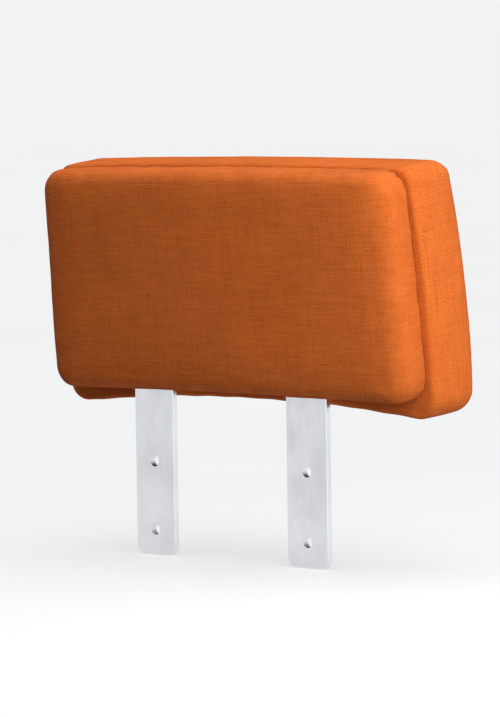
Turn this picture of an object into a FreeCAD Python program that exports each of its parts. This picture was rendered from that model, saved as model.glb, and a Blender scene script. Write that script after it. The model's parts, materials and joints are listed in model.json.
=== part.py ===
"""Headrest attachment for an office chair: an upholstered pad that slides on two flat bars.

Row frame, in millimetres: +Z up, the face that the head rests on looks along -Y, +X is to the
sitter's left.  The origin is the centre of the four bolt holes, on the bars' front faces.
The pad leans back.  Its own frame has its origin on the seam between the front cushion and the rear
panel: x across, y rearward, z up along the pad.
"""
import math
import os

import FreeCAD, Part
import Sketcher

Vector = FreeCAD.Vector
doc = FreeCAD.newDocument("headrest")

# ---------------------------------------------------------------- driving dimensions

SIZES = {
    # bars
    "bar_width": 30.0, "bar_thick": 4.0, "bar_spacing": 117.0, "bar_below": 35.0, "bar_above": 164.0,
    "bar_corner": 6.0, "bar_edge": 0.6, "bolt_hole": 6.5, "bolt_pitch": 40.0,
    "stop_below_top": 5.5, "stop_thread": 4.0, "stop_head": 7.0, "stop_head_high": 2.4,
    "stop_end": 0.4, "stop_chamfer": 0.6, "stop_recess": 1.6, "stop_recess_deep": 1.4,
    # the pad's place on the bars
    "lean": 6.0, "pad_forward": 11.0, "pad_lift": 56.0,
    # front cushion: widths, lowest and highest edge, depth and roundings
    "front_bottom": 281.0, "front_top": 269.0, "front_low": -3.5, "front_high": 136.5,
    "front_depth": 43.0, "front_corner": 16.0, "front_edge": 14.0, "front_crown": 2.0, "front_arch": 9.0,
    # rear panel
    "rear_bottom": 271.0, "rear_top": 263.0, "rear_low": 6.0, "rear_high": 134.5,
    "rear_depth": 20.0, "rear_corner": 13.0, "rear_edge": 9.0, "rear_crown": 1.0, "rear_arch": 1.5,
    # upholstery layers
    "seam_gap": 0.7, "front_seam_edge": 2.0, "rear_seam_edge": 2.0,
    "cover_thick": 1.3, "front_wadding": 3.0, "rear_wadding": 1.2,
    "lip_low": 24.2, "lip_high": 118.8, "lip_side": 111.0,
    # core board
    "core_width": 254.0, "core_low": 12.0, "core_high": 130.2, "core_thick": 10.0, "core_corner": 12.0,
    # rear panel's wood
    "batten_front": 2.0, "batten_wide": 12.5, "batten_gap": 1.5, "batten_trim": 10.0, "batten_slope": 0.6,
    "notch_front": 7.5, "notch_side": 3.0,
    "board_front": 15.0, "board_thick": 2.5, "board_inset": 9.5, "board_corner": 12.0,
    "slit_clear": 0.6, "slit_loose": 2.4, "slit_high": 12.0,
    # sliding guides, heights counted from the pad's origin
    "guide_low": 24.5, "guide_high": 58.5, "guide_half": 22.0, "guide_clear": 0.3,
    "flange_half": 34.0, "flange_thick": 4.5, "flange_low": 26.1, "flange_less": 1.0, "plate_thick": 1.2,
    "pocket_half": 9.0, "pocket_deep": 4.3, "pocket_end": 4.0,
    "shoe_half": 8.0, "shoe_thick": 1.8, "shoe_high": 20.0, "shoe_clear": 0.1,
    "spring_thick": 0.5, "spring_wide": 12.0, "spring_long": 25.0, "spring_bow": 2.1,
    "bump_half": 11.0, "bump_front": -1.0, "bump_rear": 6.0, "bump_low": 109.4, "bump_round": 1.5,
    # fasteners
    "guide_screw": 4.9, "guide_screw_head": 9.5, "guide_screw_head_high": 2.7, "guide_screw_long": 15.5,
    "guide_screw_side": 28.5, "guide_screw_low": 33.5, "guide_screw_high": 51.0,
    "guide_screw_rim": 0.9, "guide_screw_dome": 0.62, "guide_screw_recess": 1.5,
    "tee_flange": 16.0, "tee_flange_thick": 1.2, "tee_barrel": 6.5, "tee_long": 8.0, "tee_bore": 5.0,
    "plate_screw": 2.5, "plate_screw_head": 5.5, "plate_screw_head_high": 1.6, "plate_screw_long": 8.0,
    "plate_screw_side": 18.6, "plate_screw_low": 32.0, "plate_screw_high": 51.0,
    "plate_screw_rim": 0.5, "plate_screw_dome": 0.6, "screw_clear": 0.4,
    "stud": 5.0, "stud_collar": 9.0, "stud_in_batten": 10.0, "stud_in_core": 7.0,
    "stud_low": 18.5, "stud_high": 124.5, "stud_side": 106.0, "stud_point": 1.0,
    "socket_flange": 9.6, "socket_body": 8.6, "socket_long": 8.0, "socket_flange_thick": 0.8,
    "running_clear": 0.1, "socket_play": 1.0, "tee_play": 1.0, "hole_end": 0.5,
    "staple_crown": 10.0, "staple_leg": 6.0, "staple_wire": 0.5, "staple_flat": 1.2,
    "staple_proud": 0.25, "staple_step": 24.0,
    "front_staple_side": 121.0, "front_staple_low": 16.5, "front_staple_high": 124.0,
    "rear_staple_side": 122.0, "rear_staple_low": 15.5, "rear_staple_high": 126.0,
}

sheet = doc.addObject("Spreadsheet::Sheet", "Sizes")
for row, (alias, number) in enumerate(SIZES.items(), start=1):
    sheet.set("A%d" % row, alias)
    sheet.set("B%d" % row, str(number))
    sheet.setAlias("B%d" % row, alias)
doc.recompute()


def size(alias):
    """The number in one cell of the sheet."""
    return float(getattr(sheet, alias))


OVER = 1.0      # how far a cutting tool reaches past the face that it goes through
DEEP = 20.0     # a tool that is open to the rear
PAD_FRAME = FreeCAD.Placement(
    Vector(0, -size("pad_forward"), size("pad_lift")),
    FreeCAD.Rotation(Vector(1, 0, 0), -size("lean")),
)
SIDES = (("left", 1), ("right", -1))
finished = []


def finish(item, label, in_pad_frame):
    """Names a sub-part, puts it in the row frame and keeps it for writing."""
    item.Label = label
    if in_pad_frame:
        item.Placement = PAD_FRAME.multiply(item.Placement)
    finished.append(item)
    return item


# ---------------------------------------------------------------- small tools


def origin_plane(body, role):
    """One of a body's own origin planes."""
    return [f for f in body.Origin.OriginFeatures if f.Role == role][0]


def new_sketch(body, name, role, start="0"):
    """A sketch on an origin plane of its body, moved along the plane's normal by an expression."""
    sketch = body.newObject("Sketcher::SketchObject", name)
    sketch.AttachmentSupport = [(origin_plane(body, role), "")]
    sketch.MapMode = "FlatFace"
    sketch.setExpression("AttachmentOffset.Base.z", start)
    return sketch


def pin_point(sketch, geo, pos, across, up):
    """Fixes a sketch point by two expressions, measured from the sketch's origin."""
    place = sketch.getPoint(geo, pos)
    for kind, now, expression in (("DistanceX", place.x, across), ("DistanceY", place.y, up)):
        index = sketch.addConstraint(Sketcher.Constraint(kind, -1, 1, geo, pos, now))
        sketch.setExpression("Constraints[%d]" % index, expression)


def polygon(sketch, corners):
    """A closed polygon whose corners are pairs of expressions."""
    count = len(corners)
    for k in range(count):
        turn = [2 * math.pi * (k + step) / count for step in (0, 1)]
        ends = [Vector(10 * math.cos(a), 10 * math.sin(a), 0) for a in turn]
        sketch.addGeometry(Part.LineSegment(*ends), False)
    for k in range(count):
        sketch.addConstraint(Sketcher.Constraint("Coincident", k, 2, (k + 1) % count, 1))
        pin_point(sketch, k, 1, *corners[k])


def pad(body, sketch, length, midplane=False, reversed_way=False):
    """Pads a sketch by an expression."""
    feature = body.newObject("PartDesign::Pad", sketch.Name + "_pad")
    feature.Profile = sketch
    feature.setExpression("Length", length)
    feature.Midplane = midplane
    feature.Reversed = reversed_way
    sketch.Visibility = False
    doc.recompute()
    return feature


def fillet(body, base, wanted, radius):
    """Rounds the edges of a feature for which wanted(edge) is true."""
    names = ["Edge%d" % (k + 1) for k, e in enumerate(base.Shape.Edges) if wanted(e)]
    feature = body.newObject("PartDesign::Fillet", "round")
    feature.Base = (base, names)
    feature.setExpression("Radius", radius)
    doc.recompute()
    return feature


def on_plane(y):
    """A test for edges that lie in one plane of constant y."""
    return lambda e: abs(e.BoundBox.YMin - y) < 1e-4 and abs(e.BoundBox.YMax - y) < 1e-4


def along_y(e):
    """True for a straight edge along y."""
    return e.BoundBox.XLength < 1e-4 and e.BoundBox.ZLength < 1e-4


def box(name, base, lengths):
    """A Part::Box with its lowest corner and its three lengths as expressions."""
    item = doc.addObject("Part::Box", name)
    for key, expression in zip(("Length", "Width", "Height"), lengths):
        item.setExpression(key, expression)
    for key, expression in zip("xyz", base):
        item.setExpression("Placement.Base." + key, expression)
    return item


def cut(name, base, tools):
    """base with every tool taken away."""
    tool = tools[0]
    if len(tools) > 1:
        tool = doc.addObject("Part::MultiFuse", name + "_tools")
        tool.Shapes = tools
    item = doc.addObject("Part::Cut", name)
    item.Base = base
    item.Tool = tool
    doc.recompute()
    return item


def rounded(name, base, radius):
    """base with every edge rounded."""
    item = doc.addObject("Part::Fillet", name)
    item.Base = base
    item.Edges = [(k + 1, radius, radius) for k in range(len(base.Shape.Edges))]
    doc.recompute()
    return item


def drill(name, diameter, x, z, y_low, y_high):
    """A Part::Cylinder along +y, as a tool for a round hole."""
    item = doc.addObject("Part::Cylinder", name)
    item.setExpression("Radius", diameter + " / 2")
    item.Height = y_high - y_low
    item.Placement = FreeCAD.Placement(Vector(x, y_low, z), FreeCAD.Rotation(Vector(1, 0, 0), -90))
    return item


def turned(profile):
    """A solid of revolution about the y axis from (radius, y) corners."""
    wire = Part.makePolygon([Vector(r, y, 0) for r, y in profile + profile[:1]])
    return Part.Face(wire).revolve(Vector(0, 0, 0), Vector(0, 1, 0), 360)


def group(label, shapes, in_pad_frame):
    """Identical loose pieces as one sub-part."""
    item = doc.addObject("Part::Feature", label)
    item.Shape = Part.makeCompound(shapes)
    return finish(item, label, in_pad_frame)


def moved(shape, x, y, z):
    """A copy of a shape, moved."""
    copy = shape.copy()
    copy.translate(Vector(x, y, z))
    return copy


# ---------------------------------------------------------------- upholstered blocks


def block(name, which, inset, y_start, depth, corner, edge, seam_edge=None):
    """A rounded block on the pad's outline.  which is front or rear; inset is a list of cell names.

    The front cushion is padded towards -y and the rear panel towards +y.  The sides taper upwards,
    the bottom edge is arched and the top edge is crowned.
    """
    less = "".join(" - Sizes." + cell for cell in inset)
    more = "".join(" + Sizes." + cell for cell in inset)
    gone = sum(size(cell) for cell in inset)
    bottom, top = size(which + "_bottom") / 2 - gone, size(which + "_top") / 2 - gone
    low, high = size(which + "_low") + gone, size(which + "_high") - gone
    arch, crown = size(which + "_arch"), size(which + "_crown")

    body = doc.addObject("PartDesign::Body", name)
    forward = which == "front"
    sketch = new_sketch(body, name + "_outline", "XZ_Plane", y_start if forward else "-(%s)" % y_start)
    corners = [Vector(x, z, 0) for x, z in ((-bottom, low), (bottom, low), (top, high), (-top, high))]
    crests = {0: Vector(0, low + arch, 0), 2: Vector(0, high + crown, 0)}
    for k in range(4):
        start, end = corners[k], corners[(k + 1) % 4]
        side = Part.Arc(start, crests[k], end) if k in crests else Part.LineSegment(start, end)
        sketch.addGeometry(side, False)
    for k in crests:
        sketch.addGeometry(Part.Point(crests[k]), True)
    half = {"b": "Sizes.%s_bottom / 2%s" % (which, less), "t": "Sizes.%s_top / 2%s" % (which, less)}
    level = {"b": "Sizes.%s_low%s" % (which, more), "t": "Sizes.%s_high%s" % (which, less)}
    pin_point(sketch, 1, 1, half["b"], level["b"])
    pin_point(sketch, 1, 2, half["t"], level["t"])
    pin_point(sketch, 3, 1, "-(%s)" % half["t"], level["t"])
    pin_point(sketch, 3, 2, "-(%s)" % half["b"], level["b"])
    pin_point(sketch, 4, 1, "0", "%s + Sizes.%s_arch" % (level["b"], which))
    pin_point(sketch, 5, 1, "0", "%s + Sizes.%s_crown" % (level["t"], which))
    for arc, crest in ((0, 4), (2, 5)):
        sketch.addConstraint(Sketcher.Constraint("PointOnObject", crest, 1, arc))
        for pos in (1, 2):
            place = sketch.getPoint(arc, pos)
            line = 1 if place.x > 0 else 3
            near = min((1, 2), key=lambda p: (sketch.getPoint(line, p) - place).Length)
            sketch.addConstraint(Sketcher.Constraint("Coincident", arc, pos, line, near))
    base = pad(body, sketch, depth, reversed_way=not forward)
    base = fillet(body, base, along_y, corner)
    bounds = base.Shape.BoundBox
    face_y, seam_y = (bounds.YMin, bounds.YMax) if forward else (bounds.YMax, bounds.YMin)
    base = fillet(body, base, on_plane(face_y), edge)
    if seam_edge:
        fillet(body, base, on_plane(seam_y), seam_edge)
    return body


def front_block(name, inset, seam_edge=None):
    """The front cushion's shape, inset on every side by the cells in inset."""
    less = "".join(" - Sizes." + cell for cell in inset)
    start = "Sizes." + inset[0] if inset else "0"
    depth = "Sizes.front_depth%s - %s" % (less, start)
    return block(name, "front", inset, start, depth, "Sizes.front_corner" + less,
                 "Sizes.front_edge" + less, seam_edge)


def rear_block(name, inset, seam_edge=None):
    """The rear panel's shape, inset on every side by the cells in inset."""
    less = "".join(" - Sizes." + cell for cell in inset)
    start = "Sizes.seam_gap" + (" + Sizes." + inset[0] if inset else "")
    depth = "Sizes.rear_depth%s - (%s)" % (less, start)
    return block(name, "rear", inset, start, depth, "Sizes.rear_corner" + less,
                 "Sizes.rear_edge" + less, seam_edge)


def stud_places():
    """(x, z) of the six push-in studs that hold the rear panel on, in the pad's frame."""
    return [(x, z) for z in (size("stud_low"), size("stud_high"))
            for x in (-size("stud_side"), 0.0, size("stud_side"))]


def guide_screw_places():
    """(x, z) of the eight screws that hold the two guides on, in the pad's frame."""
    return [(side * size("bar_spacing") / 2 + way * size("guide_screw_side"), z)
            for _, side in SIDES for way in (-1, 1)
            for z in (size("guide_screw_low"), size("guide_screw_high"))]


def staple(along_x, way):
    """One staple, centred on the origin: its crown's back at y = 0 and its legs along +y or -y."""
    half, leg, wire = size("staple_crown") / 2, size("staple_leg"), size("staple_wire")
    outline = [(-half, 0), (half, 0), (half, leg), (half - wire, leg), (half - wire, wire),
               (wire - half, wire), (wire - half, leg), (-half, leg), (-half, 0)]
    face = Part.Face(Part.makePolygon([Vector(x, way * y, 0) for x, y in outline]))
    solid = face.extrude(Vector(0, 0, size("staple_flat")))
    solid.translate(Vector(0, 0, -size("staple_flat") / 2))
    if not along_x:
        solid.rotate(Vector(0, 0, 0), Vector(0, 1, 0), 90)
    return solid


def staple_row(which, y_crown, way):
    """Staples evenly spaced round one cover's lip, clear of the studs, in the pad's frame."""
    side, low, high = [size("%s_staple_%s" % (which, end)) for end in ("side", "low", "high")]
    step, clear = size("staple_step"), size("socket_flange") / 2 + size("staple_crown") / 2 + OVER
    placed = []
    across = int(2 * side / step) - 1
    for z in (low, high):
        for k in range(across):
            x = (k - (across - 1) / 2) * step
            if all(math.hypot(x - sx, z - sz) > clear for sx, sz in stud_places()):
                placed.append(moved(staple(True, way), x, y_crown, z))
    upward = int((high - low) / step)
    for x in (-side, side):
        for k in range(upward):
            z = (low + high) / 2 + (k - (upward - 1) / 2) * step
            placed.append(moved(staple(False, way), x, y_crown, z))
    return placed


def staple_cutter(name, staples):
    """The slots that a row of staples makes in cloth and wood, as one tool."""
    item = doc.addObject("Part::Feature", name)
    item.Shape = Part.makeCompound(staples)
    return item


def lip_window(name, y_low, y_high):
    """The open middle behind a cover's stapled lip."""
    return box(name, ("-Sizes.lip_side", str(y_low), "Sizes.lip_low"),
               ("2 * Sizes.lip_side", str(y_high - y_low), "Sizes.lip_high - Sizes.lip_low"))


def stud_holes(name, y_low, y_high, diameter):
    """Tools for the studs' clearance holes."""
    return [drill("%s_%d" % (name, k), diameter, x, z, y_low, y_high)
            for k, (x, z) in enumerate(stud_places())]


def build_front_cushion():
    """Cover, wadding, foam and core board of the cushion that the head rests on."""
    cover = size("cover_thick")
    staples = staple_row("front", size("staple_proud"), -1)
    slots = staple_cutter("front_staple_slots", staples)
    group("staples_front", staples, True)
    shape = front_block("front_outer", [], "Sizes.front_seam_edge")
    inside = front_block("front_inside", ["cover_thick"])
    window = lip_window("front_window", -cover - OVER, OVER)
    holes = stud_holes("front_lip_hole", -cover - OVER, OVER, "(Sizes.socket_flange + Sizes.socket_play)")
    finish(cut("front_cover_cut", shape, [inside, window, slots] + holes), "front_cover", True)

    layer = front_block("wadding_outer", ["cover_thick"])
    layer_inside = front_block("wadding_inside", ["cover_thick", "front_wadding"])
    finish(cut("front_wadding_cut", layer, [layer_inside]), "front_wadding", True)

    foam = front_block("foam_block", ["cover_thick", "front_wadding"])
    recess = core_blank("foam_recess")
    flange_front = -cover - size("core_thick") - size("tee_flange_thick") - size("running_clear")
    pockets = [drill("foam_pocket_%d" % k, "(Sizes.tee_flange + Sizes.tee_play)", x, z,
                     flange_front, -cover)
               for k, (x, z) in enumerate(guide_screw_places())]
    finish(cut("front_foam_cut", foam, [recess] + pockets), "front_foam", True)

    core_front = -cover - size("core_thick")
    barrels = [drill("tee_hole_%d" % k, "(Sizes.tee_barrel + Sizes.running_clear)", x, z,
                     core_front - OVER, OVER)
               for k, (x, z) in enumerate(guide_screw_places())]
    sockets = stud_holes("socket_hole", -cover - size("socket_long") - size("hole_end"), OVER,
                         "(Sizes.socket_body + Sizes.running_clear)")
    core = cut("core_cut", core_blank("core_blank"), [slots] + barrels + sockets)
    finish(core, "core_board", True)


def core_blank(name):
    """The plywood core board before drilling."""
    body = doc.addObject("PartDesign::Body", name)
    sketch = new_sketch(body, name + "_outline", "XZ_Plane", "Sizes.cover_thick")
    half = "Sizes.core_width / 2"
    polygon(sketch, [("-" + half, "Sizes.core_low"), (half, "Sizes.core_low"),
                     (half, "Sizes.core_high"), ("-" + half, "Sizes.core_high")])
    base = pad(body, sketch, "Sizes.core_thick")
    fillet(body, base, along_y, "Sizes.core_corner")
    return body


def build_rear_panel():
    """Cover, wadding, board and battens of the panel that hides the guides."""
    slits = [box("slit_" + name,
                 ("%d * Sizes.bar_spacing / 2 - Sizes.bar_width / 2 - Sizes.slit_clear" % side,
                  "Sizes.pad_forward - Sizes.slit_loose * Sizes.slit_clear",
                  "Sizes.rear_low - Sizes.slit_high / 2"),
                 ("Sizes.bar_width + 2 * Sizes.slit_clear",
                  "Sizes.bar_thick + Sizes.slit_loose * Sizes.slit_clear", "Sizes.slit_high"))
             for name, side in SIDES]
    staples = staple_row("rear", size("seam_gap") - size("staple_proud"), 1)
    slots = staple_cutter("rear_staple_slots", staples)
    group("staples_rear", staples, True)
    shape = rear_block("rear_outer", [], "Sizes.rear_seam_edge")
    inside = rear_block("rear_inside", ["cover_thick"])
    lip_end = size("seam_gap") + size("cover_thick") + OVER
    window = lip_window("rear_window", -OVER, lip_end)
    holes = stud_holes("rear_lip_hole", -OVER, lip_end, "(Sizes.socket_flange + Sizes.socket_play)")
    finish(cut("rear_cover_cut", shape, [inside, window, slots] + holes + slits), "rear_cover", True)

    layer = rear_block("rear_layer", ["cover_thick"])
    hollow = rear_block("rear_hollow", ["cover_thick", "rear_wadding"])
    finish(cut("rear_wadding_cut", layer, [hollow] + slits), "rear_wadding", True)

    board = doc.addObject("PartDesign::Body", "board_blank")
    sketch = new_sketch(board, "board_outline", "XZ_Plane", "-Sizes.board_front")
    low = "Sizes.rear_low + Sizes.rear_arch + Sizes.board_inset"
    high = "Sizes.rear_high - Sizes.board_inset"
    wide, slim = ["Sizes.rear_%s / 2 - Sizes.board_inset" % end for end in ("bottom", "top")]
    polygon(sketch, [("-(%s)" % wide, low), (wide, low), (slim, high), ("-(%s)" % slim, high)])
    base = pad(board, sketch, "Sizes.board_thick", reversed_way=True)
    fillet(board, base, along_y, "Sizes.board_corner")
    finish(board, "rear_board", True)
    build_battens(slots)


def batten(name, corners, tools):
    """One batten: a polygon of expressions, less its tools."""
    body = doc.addObject("PartDesign::Body", name + "_blank")
    sketch = new_sketch(body, name + "_outline", "XZ_Plane", "-Sizes.batten_front")
    polygon(sketch, corners)
    pad(body, sketch, "Sizes.board_front - Sizes.batten_front", reversed_way=True)
    finish(cut(name + "_cut", body, tools), name, True)


def build_battens(slots):
    """The four wooden battens round the rear panel, with slots where the staples go in.

    The long ones run across the top and the bottom, with their ends trimmed to clear the cover's
    rounded corners.  The side ones run between them.
    """
    layers = " - Sizes.cover_thick - Sizes.rear_wadding - Sizes.batten_gap"
    wide, slim = ["(Sizes.rear_%s / 2%s)" % (end, layers) for end in ("bottom", "top")]
    low = "(Sizes.rear_low + Sizes.rear_arch + Sizes.cover_thick + Sizes.rear_wadding + Sizes.batten_gap)"
    high = "(Sizes.rear_high%s)" % layers
    inner_low, inner_high = low + " + Sizes.batten_wide", high + " - Sizes.batten_wide"
    hole_end = size("batten_front") + size("stud_in_batten") + size("hole_end")
    hole_y = (size("batten_front") - OVER, hole_end)
    holes = stud_holes("batten_hole", *hole_y, "(Sizes.stud + Sizes.running_clear)")
    notches = [box("notch_" + name,
                   ("%d * Sizes.bar_spacing / 2 - Sizes.bar_width / 2 - Sizes.notch_side" % side,
                    "Sizes.notch_front", low + " - Sizes.slit_high / 2"),
                   ("Sizes.bar_width + 2 * Sizes.notch_side", str(DEEP),
                    "Sizes.batten_wide + Sizes.slit_high"))
               for name, side in SIDES]
    trim, slope = "Sizes.batten_trim", "Sizes.batten_slope"
    batten("batten_bottom", [("-%s + %s" % (wide, trim), low), ("%s - %s" % (wide, trim), low),
                             ("%s - %s" % (wide, slope), inner_low),
                             ("-%s + %s" % (wide, slope), inner_low)],
           holes[:3] + notches + [slots])
    batten("batten_top", [("-%s" % slim, inner_high), (slim, inner_high),
                          ("%s - %s" % (slim, trim), high), ("-%s + %s" % (slim, trim), high)],
           holes[3:] + [slots])
    for name, side in SIDES:
        batten("batten_" + name, [("%d * (%s - %s)" % (side, wide, slope), inner_low),
                                  ("%d * %s" % (side, slim), inner_high),
                                  ("%d * (%s - Sizes.batten_wide)" % (side, slim), inner_high),
                                  ("%d * (%s - Sizes.batten_wide)" % (side, slim), inner_low)], [slots])


# ---------------------------------------------------------------- bars


def build_bars():
    """Two flat bars with bolt holes at the foot and a stop screw at the head."""
    for name, side in SIDES:
        body = doc.addObject("PartDesign::Body", "bar_blank_" + name)
        sketch = new_sketch(body, "bar_outline_" + name, "XZ_Plane")
        middle = "%d * Sizes.bar_spacing / 2" % side
        ends = [middle + way + "Sizes.bar_width / 2" for way in (" - ", " + ")]
        polygon(sketch, [(ends[0], "-Sizes.bar_below"), (ends[1], "-Sizes.bar_below"),
                         (ends[1], "Sizes.bar_above"), (ends[0], "Sizes.bar_above")])
        base = pad(body, sketch, "Sizes.bar_thick", reversed_way=True)
        base = fillet(body, base, along_y, "Sizes.bar_corner")
        fillet(body, base, lambda e: on_plane(0)(e) or on_plane(size("bar_thick"))(e), "Sizes.bar_edge")
        x = side * size("bar_spacing") / 2
        stop_z = size("bar_above") - size("stop_below_top")
        rear = size("bar_thick")
        holes = [drill("bolt_hole_%s_%s" % (name, way), "Sizes.bolt_hole", x,
                       sign * size("bolt_pitch") / 2, -OVER, rear + OVER)
                 for way, sign in (("low", -1), ("high", 1))]
        holes.append(drill("stop_hole_" + name, "(Sizes.stop_thread + Sizes.running_clear)", x, stop_z,
                           -OVER, rear + OVER))
        finish(cut("bar_cut_" + name, body, holes), "bar_" + name, False)
        shank, head, end = size("stop_thread") / 2, size("stop_head") / 2, size("stop_end")
        top, chamfer = rear + size("stop_head_high"), size("stop_chamfer")
        recess, floor = size("stop_recess"), top - size("stop_recess_deep")
        screw = turned([(0, end), (shank, end), (shank, rear), (head, rear), (head, top - chamfer),
                        (head - chamfer, top), (recess, top), (recess, floor), (0, floor)])
        group("stop_screw_" + name, [moved(screw, x, 0, stop_z)], False)


# ---------------------------------------------------------------- sliding guides


def build_guides():
    """For each bar: wedge-shaped guide, cover plate, brake shoe, leaf spring and rubber stop."""
    low, high = "(Sizes.pad_lift + Sizes.guide_low)", "(Sizes.pad_lift + Sizes.guide_high)"
    rear = "(Sizes.bar_thick + Sizes.guide_clear)"
    for name, side in SIDES:
        middle = "%d * Sizes.bar_spacing / 2" % side
        x = side * size("bar_spacing") / 2
        body = doc.addObject("PartDesign::Body", "wedge_" + name)
        # the YZ plane's normal is +x, so the sketch starts at the guide's own side
        sketch = new_sketch(body, "wedge_outline_" + name, "YZ_Plane", middle)
        # the core board's rear face at a height above the pad's origin
        front = ("(-Sizes.cover_thick + %s * sin(Sizes.lean * 1deg)) / cos(Sizes.lean * 1deg)"
                 " - Sizes.pad_forward")
        polygon(sketch, [(front % "Sizes.guide_low", low), (rear, low), (rear, high),
                         (front % "Sizes.guide_high", high)])
        pad(body, sketch, "2 * Sizes.guide_half", midplane=True)

        flange = box("flange_" + name,
                     (middle + " - Sizes.flange_half", "-Sizes.cover_thick", "Sizes.flange_low"),
                     ("2 * Sizes.flange_half", "Sizes.flange_thick",
                      "(Sizes.guide_high - Sizes.guide_low) * cos(Sizes.lean * 1deg) - Sizes.flange_less"))
        flange_front, flange_rear = -size("cover_thick"), size("flange_thick") - size("cover_thick")
        screws = [drill("flange_hole_%s_%d" % (name, k), "(Sizes.guide_screw + Sizes.screw_clear)",
                        px, pz, flange_front - OVER, flange_rear + OVER)
                  for k, (px, pz) in enumerate(guide_screw_places()) if px * side > 0]
        leaning = cut("flange_cut_" + name, flange, screws)
        leaning.Placement = PAD_FRAME
        whole = doc.addObject("Part::MultiFuse", "guide_whole_" + name)
        whole.Shapes = [body, leaning]
        slot = box("slot_" + name,
                   (middle + " - Sizes.bar_width / 2 - Sizes.guide_clear", "-Sizes.guide_clear",
                    "%s - %g" % (low, OVER)),
                   ("Sizes.bar_width + 2 * Sizes.guide_clear", str(DEEP),
                    "Sizes.guide_high - Sizes.guide_low + %g" % (2 * OVER)))
        pocket = box("pocket_" + name,
                     (middle + " - Sizes.pocket_half", "-Sizes.guide_clear - Sizes.pocket_deep",
                      low + " + Sizes.pocket_end"),
                     ("2 * Sizes.pocket_half", "Sizes.pocket_deep + Sizes.guide_clear",
                      "Sizes.guide_high - Sizes.guide_low - 2 * Sizes.pocket_end"))
        seat = size("bar_thick") + size("guide_clear")
        pilots = [drill("pilot_%s_%d" % (name, k), "(Sizes.plate_screw + Sizes.running_clear)", px, pz,
                        seat - size("plate_screw_long") - OVER, seat + OVER)
                  for k, (px, pz) in enumerate(plate_screw_places(side))]
        finish(cut("guide_cut_" + name, whole, [slot, pocket] + pilots), "guide_" + name, False)

        plate = box("plate_blank_" + name, (middle + " - Sizes.guide_half", rear, low),
                    ("2 * Sizes.guide_half", "Sizes.plate_thick", "Sizes.guide_high - Sizes.guide_low"))
        holes = [drill("plate_hole_%s_%d" % (name, k), "(Sizes.plate_screw + Sizes.screw_clear)", px, pz,
                       seat - OVER, seat + size("plate_thick") + OVER)
                 for k, (px, pz) in enumerate(plate_screw_places(side))]
        finish(cut("plate_cut_" + name, plate, holes), "guide_plate_" + name, False)

        middle_z = "(Sizes.pad_lift + (Sizes.guide_low + Sizes.guide_high) / 2)"
        shoe = box("shoe_" + name,
                   (middle + " - Sizes.shoe_half", "-Sizes.shoe_clear - Sizes.shoe_thick",
                    middle_z + " - Sizes.shoe_high / 2"),
                   ("2 * Sizes.shoe_half", "Sizes.shoe_thick", "Sizes.shoe_high"))
        finish(shoe, "brake_shoe_" + name, False)
        build_leaf_spring(name, middle, middle_z)

        bump = box("bump_" + name, (middle + " - Sizes.bump_half", "Sizes.bump_front", "Sizes.bump_low"),
                   ("2 * Sizes.bump_half", "Sizes.bump_rear - Sizes.bump_front",
                    "Sizes.rear_high - Sizes.cover_thick - Sizes.rear_wadding - Sizes.batten_gap"
                    " - Sizes.batten_wide - Sizes.bump_low"))
        doc.recompute()
        finish(rounded("bump_round_" + name, bump, size("bump_round")), "bump_stop_" + name, True)


def build_leaf_spring(name, middle, middle_z):
    """A bowed leaf that presses the brake shoe on the bar: a slice of a thin ring."""
    radius = "((Sizes.spring_long / 2)^2 + Sizes.spring_bow^2) / (2 * Sizes.spring_bow)"
    crest = "(-Sizes.shoe_clear - Sizes.shoe_thick)"
    rings = []
    for kind, less in (("outer", ""), ("inner", " - Sizes.spring_thick")):
        ring = doc.addObject("Part::Cylinder", "spring_%s_%s" % (kind, name))
        ring.setExpression("Radius", radius + less)
        ring.setExpression("Height", "Sizes.spring_wide")
        ring.setExpression("Placement.Base.x", middle + " - Sizes.spring_wide / 2")
        ring.setExpression("Placement.Base.y", "%s - %s" % (crest, radius))
        ring.setExpression("Placement.Base.z", middle_z)
        ring.Placement.Rotation = FreeCAD.Rotation(Vector(0, 1, 0), 90)
        rings.append(ring)
    ring = cut("spring_ring_" + name, rings[0], [rings[1]])
    slab = box("spring_slab_" + name,
               (middle + " - Sizes.spring_wide", crest + " - 2 * Sizes.spring_bow",
                middle_z + " - Sizes.spring_long / 2"),
               ("2 * Sizes.spring_wide", "4 * Sizes.spring_bow", "Sizes.spring_long"))
    leaf = doc.addObject("Part::MultiCommon", "spring_leaf_" + name)
    leaf.Shapes = [ring, slab]
    doc.recompute()
    finish(leaf, "leaf_spring_" + name, False)


# ---------------------------------------------------------------- fasteners


def plate_screw_places(side):
    """(x, z) of the four screws that hold one guide's cover plate, in the row frame."""
    return [(side * size("bar_spacing") / 2 + way * size("plate_screw_side"), size("pad_lift") + z)
            for way in (-1, 1) for z in (size("plate_screw_low"), size("plate_screw_high"))]


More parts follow.
